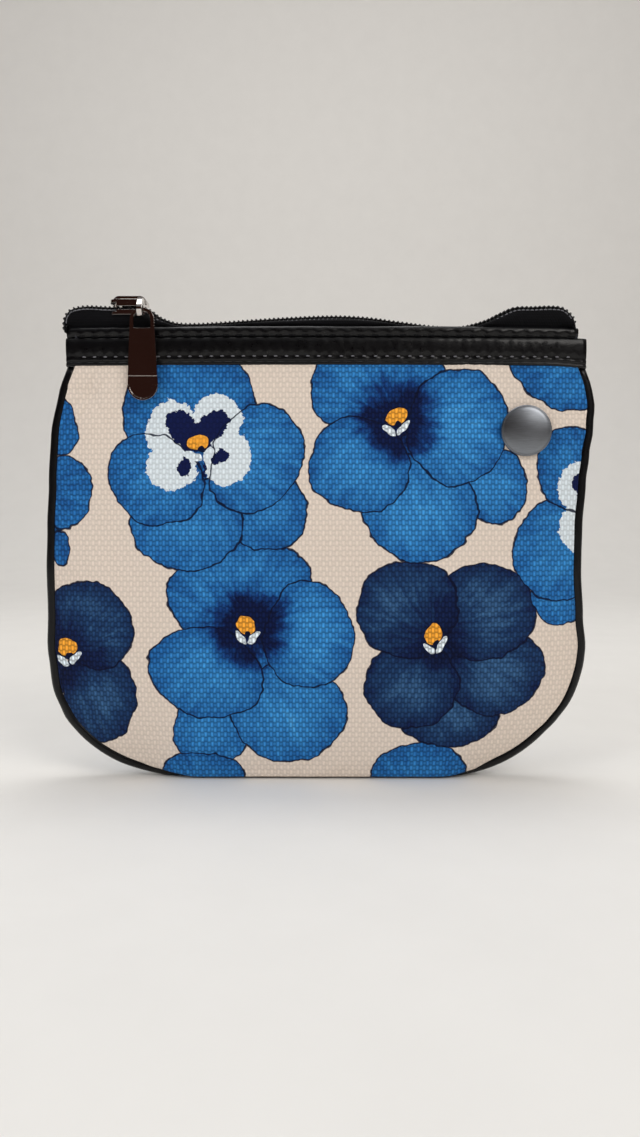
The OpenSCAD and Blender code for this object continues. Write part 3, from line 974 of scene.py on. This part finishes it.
for side, word in sideNames.items():
    zipTape = tape(word + "Tape", side)
    settle(zipTape, side, word + "_tape")
    zipCoil = coil(word + "Coil", side, 0.0 if side < 0 else 0.5)
    settle(zipCoil, side, word + "_coil")
    core = runAlongChain(word + "CoilCore", side, 0.00125, 0.0, 0.00072, 10, tapeCloth)
    settle(core, side, word + "_coil_core")
    sewn = runAlongChain(word + "CoilThread", side, 0.0033, -0.0008, 0.0002, 5, threadWithPaintedGlints, 0.0002)
    settle(sewn, side, word + "_coil_thread")
print("zipper is ready")

slider = cadCopy("slider", "sliderBody", chrome, 0.0002)
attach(slider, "slider")
tab = cadCopy("pull_tab", "pullTab", chrome, 0.0002)
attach(tab, "pull")


badge = {"radius": (badgeHigh.x - badgeLow.x) / 2, "rim": 0.0009, "dome": 0.0009, "base": badgeHigh.y}


def badgeCap():
    radius, rim, dome = badge["radius"], badge["rim"], badge["dome"]
    profile = [(0.0, rim + dome)]
    for k in range(1, 9):
        r = (radius - 0.0009) * k / 8
        profile.append((r, rim + dome * (1 - (r / (radius - 0.0009)) ** 2)))
    profile += [(radius - 0.00075, rim - 0.0001), (radius - 0.0004, rim + 0.00005),
                (radius - 0.0001, rim - 0.00015), (radius, rim - 0.0004), (radius, 0.0),
                (radius - 0.0006, 0.0), (radius - 0.0007, 0.0005), (0.0, 0.0005)]
    bm = bmesh.new()
    verts = [bm.verts.new((badgeMiddle.x + r, badge["base"] - h, badgeMiddle.z)) for r, h in profile]
    edges = [bm.edges.new(pair) for pair in zip(verts, verts[1:])]
    bmesh.ops.spin(bm, geom=verts + edges, cent=(badgeMiddle.x, 0, badgeMiddle.z), axis=(0, 1, 0),
                   angle=2 * math.pi, steps=72, use_merge=True)
    bmesh.ops.remove_doubles(bm, verts=bm.verts, dist=1e-6)
    return finish(bm, "badgeCap", brushed)


cap = badgeCap()
settle(cap, -1, "badge_cap")
for node, name in (("badge_post", "badgePost"), ("badge_washer", "badgeWasher")):
    small = cadCopy(node, name, brushed, 0.0001)
    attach(small, "front_wall")
print("hardware is ready")


studio = {"front": 2.2, "flat": 3.0, "turn": 0.5, "halfWidth": 4.0}


def studioFloor():
    # a floor that curves up into a backdrop
    front, flat, turn = studio["front"], studio["flat"], studio["turn"]
    bm = bmesh.new()
    bmesh.ops.create_grid(bm, x_segments=1, y_segments=40, size=1.0)
    for vert in bm.verts:
        run = front * (vert.co.y + 1)
        x = vert.co.x * studio["halfWidth"]
        if run < flat:
            vert.co = (x, run - front, 0.0)
        else:
            a = min(math.pi / 2, (run - flat) / turn)
            rise = max(0.0, run - flat - turn * math.pi / 2)
            vert.co = (x, flat - front + turn * math.sin(a), turn * (1 - math.cos(a)) + rise * 2)
    bmesh.ops.recalc_face_normals(bm, faces=bm.faces)
    paint = plainMaterial("floorPaint", rgb(222, 220, 216), rgb(228, 226, 222), 30.0,
                          {"Specular IOR Level": 0.1}, (0.8, 0.9), 0.0001)
    finish(bm, "floor", paint, outward=False)


studioFloor()
world = bpy.data.worlds.new("room")
bpy.context.scene.world = world
world.use_nodes = True
room = Wire(world.node_tree)
direction = room.make("ShaderNodeTexCoord", {}, {}, "Generated")
height = room.make("ShaderNodeSeparateXYZ", {}, {0: direction}, "Z")
reflected = room.make("ShaderNodeValToRGB", {"stops": [
    (0.0, (0.034, 0.012, 0.008, 1)), (0.38, (0.022, 0.010, 0.008, 1)), (0.62, (0.20, 0.19, 0.19, 1)),
    (1.0, (0.55, 0.55, 0.55, 1))]}, {0: height})
seen = room.make("ShaderNodeLightPath", {}, {}, "Is Camera Ray")
background = world.node_tree.nodes["Background"]
world.node_tree.links.new(room.mix(seen, reflected, rgb(206, 206, 206)).socket, background.inputs[0])


def areaLight(name, place, aim, size, power, colour, mirrored=True):
    data = bpy.data.lights.new(name, "AREA")
    data.shape = "RECTANGLE"
    data.size, data.size_y = size
    data.energy = power
    data.color = colour
    lamp = bpy.data.objects.new(name, data)
    bpy.context.collection.objects.link(lamp)
    lamp.location = place
    lamp.rotation_euler = (Vector(aim) - Vector(place)).to_track_quat("-Z", "Y").to_euler()
    lamp.visible_glossy = mirrored


bpy.context.scene.view_settings.view_transform = "Standard"
middle = (0, 0, 0.09)
areaLight("keyLight", (0.8, -1.0, 1.0), middle, (0.8, 0.8), 9.0, (1.0, 0.97, 0.93))
areaLight("fillLight", (-1.0, -0.9, 0.7), middle, (0.6, 0.8), 6.5, (0.95, 0.97, 1.0), False)
areaLight("topLight", (-0.1, 0.1, 1.3), middle, (1.0, 0.6), 6.5, (1.0, 1.0, 1.0))
areaLight("lowLight", (0.1, -1.3, 0.10), middle, (1.3, 0.16), 3.5, (1.0, 0.98, 0.95), False)
areaLight("backdropLight", (0.0, 0.35, 1.7), (0.0, 1.3, 0.5), (2.4, 0.5), 7.0, (1.0, 0.99, 0.97), False)
print("stage is ready")
